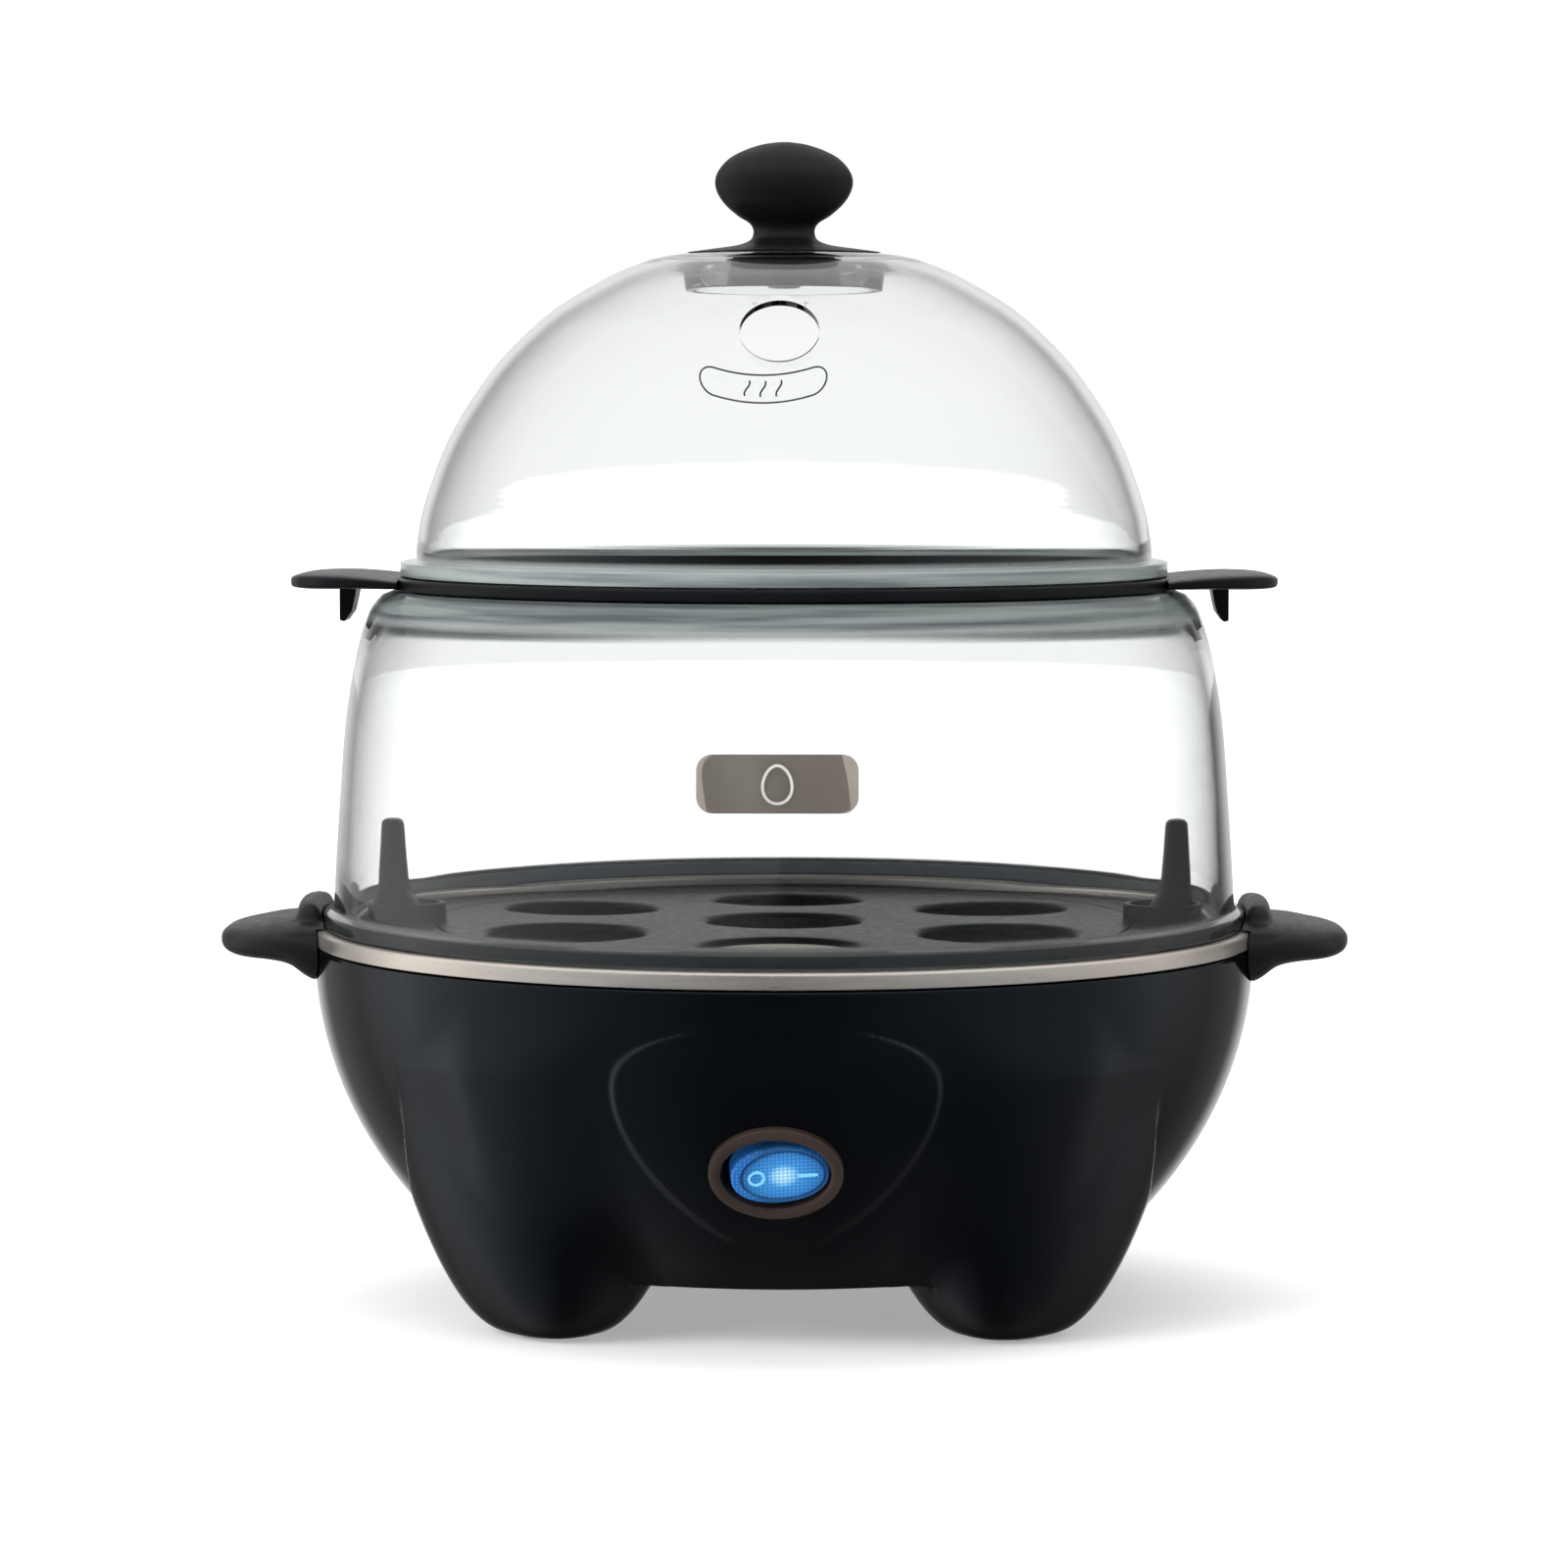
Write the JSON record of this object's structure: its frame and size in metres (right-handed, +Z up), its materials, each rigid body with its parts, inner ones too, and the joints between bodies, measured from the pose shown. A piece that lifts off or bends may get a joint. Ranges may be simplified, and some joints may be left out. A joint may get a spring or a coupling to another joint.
{
  "type": "egg cooker",
  "caption": "Two-tier electric egg cooker: gloss bowl base on lobed legs, steel heating pan, egg trays, clear housing, clear dome lid with knob, lit rocker switch.",
  "frame": {"origin": "on the floor under the middle of the base", "axes": "+Z up, front with the switch faces -Y, handles at -X and +X"},
  "size_m": [0.226, 0.188, 0.2316],
  "materials": {
    "base_gloss_black": "high gloss blue-black",
    "soft_black": "fine satin",
    "tray_black": "satin",
    "clear_plastic": "clear moulded polycarbonate",
    "stainless": "circular brushed",
    "zinc_steel": "zinc plated",
    "cast_alloy": "as cast",
    "brass": "rolled",
    "rubber": "matte",
    "silicone": "matte",
    "ceramic": "steatite",
    "bezel_bronze": "bronze brown, satin gloss",
    "nylon_black": "moulded",
    "blue_lens": "translucent, lit from behind",
    "lamp_glass": "clear",
    "wire_red": "silicone insulation",
    "wire_black": "silicone insulation",
    "wire_blue": "silicone insulation"
  },
  "bodies": {
    "base": {"base_shell": "base_gloss_black", "bottom_cover": "nylon_black", "foot_pad_front_left": "rubber", "foot_pad_front_right": "rubber", "foot_pad_rear_left": "rubber", "foot_pad_rear_right": "rubber", "cover_screw_right": "zinc_steel", "cover_screw_rear": "zinc_steel", "cover_screw_left": "zinc_steel", "cover_screw_front": "zinc_steel", "cord_gland": "soft_black", "handle_left": "soft_black", "handle_right": "soft_black", "handle_screw_left": "zinc_steel", "handle_screw_right": "zinc_steel", "heating_pan": "stainless", "pan_gasket": "silicone", "heater_plate": "cast_alloy", "heating_element": "zinc_steel", "element_terminal_left": "ceramic", "element_terminal_right": "ceramic", "thermostat": "ceramic", "thermal_fuse": "brass", "heat_shield": "zinc_steel", "pan_bolt_left": "zinc_steel", "pan_bolt_right": "zinc_steel", "terminal_block": "nylon_black", "buzzer": "nylon_black", "wire_feed": "wire_red", "wire_heater": "wire_black", "wire_neutral": "wire_blue", "switch_bezel": "bezel_bronze", "switch_housing": "nylon_black", "switch_terminal_load": "brass", "switch_terminal_lamp": "brass", "switch_terminal_line": "brass", "switch_lamp": "lamp_glass"},
    "rocker": {"switch_rocker": "blue_lens"},
    "contact": {"contact_lever": "brass"},
    "lower_tray": {"lower_egg_tray": "tray_black"},
    "shell": {"lower_shell": "clear_plastic"},
    "upper_tray": {"upper_egg_tray": "tray_black"},
    "lid": {"dome_lid": "clear_plastic", "lid_knob": "soft_black", "knob_washer": "rubber", "knob_screw": "zinc_steel"}
  },
  "joints": [
    {"name": "rocker_tilt", "type": "hinge", "parent": "base", "child": "rocker", "pos_m": [0, -0.08159, 0.04007], "axis": [0, -0.4384, 0.8988], "range_deg": [-15, 0]},
    {"name": "contact_tilt", "type": "hinge", "parent": "base", "child": "contact", "pos_m": [0, -0.07566, 0.04296], "axis": [0, -0.4384, 0.8988], "range_deg": [0, 12.5]},
    {"name": "lower_tray_lift", "type": "slide", "parent": "base", "child": "lower_tray", "axis": [0, 0, 1], "range_m": [0, 0.03]},
    {"name": "shell_lift", "type": "slide", "parent": "base", "child": "shell", "axis": [0, 0, 1], "range_m": [0, 0.12]},
    {"name": "upper_tray_lift", "type": "slide", "parent": "shell", "child": "upper_tray", "axis": [0, 0, 1], "range_m": [0, 0.08]},
    {"name": "lid_lift", "type": "slide", "parent": "upper_tray", "child": "lid", "axis": [0, 0, 1], "range_m": [0, 0.1]}
  ],
  "couplings": [
    {"joint": "contact_tilt", "follows": "rocker_tilt", "ratio": -0.8}
  ]
}
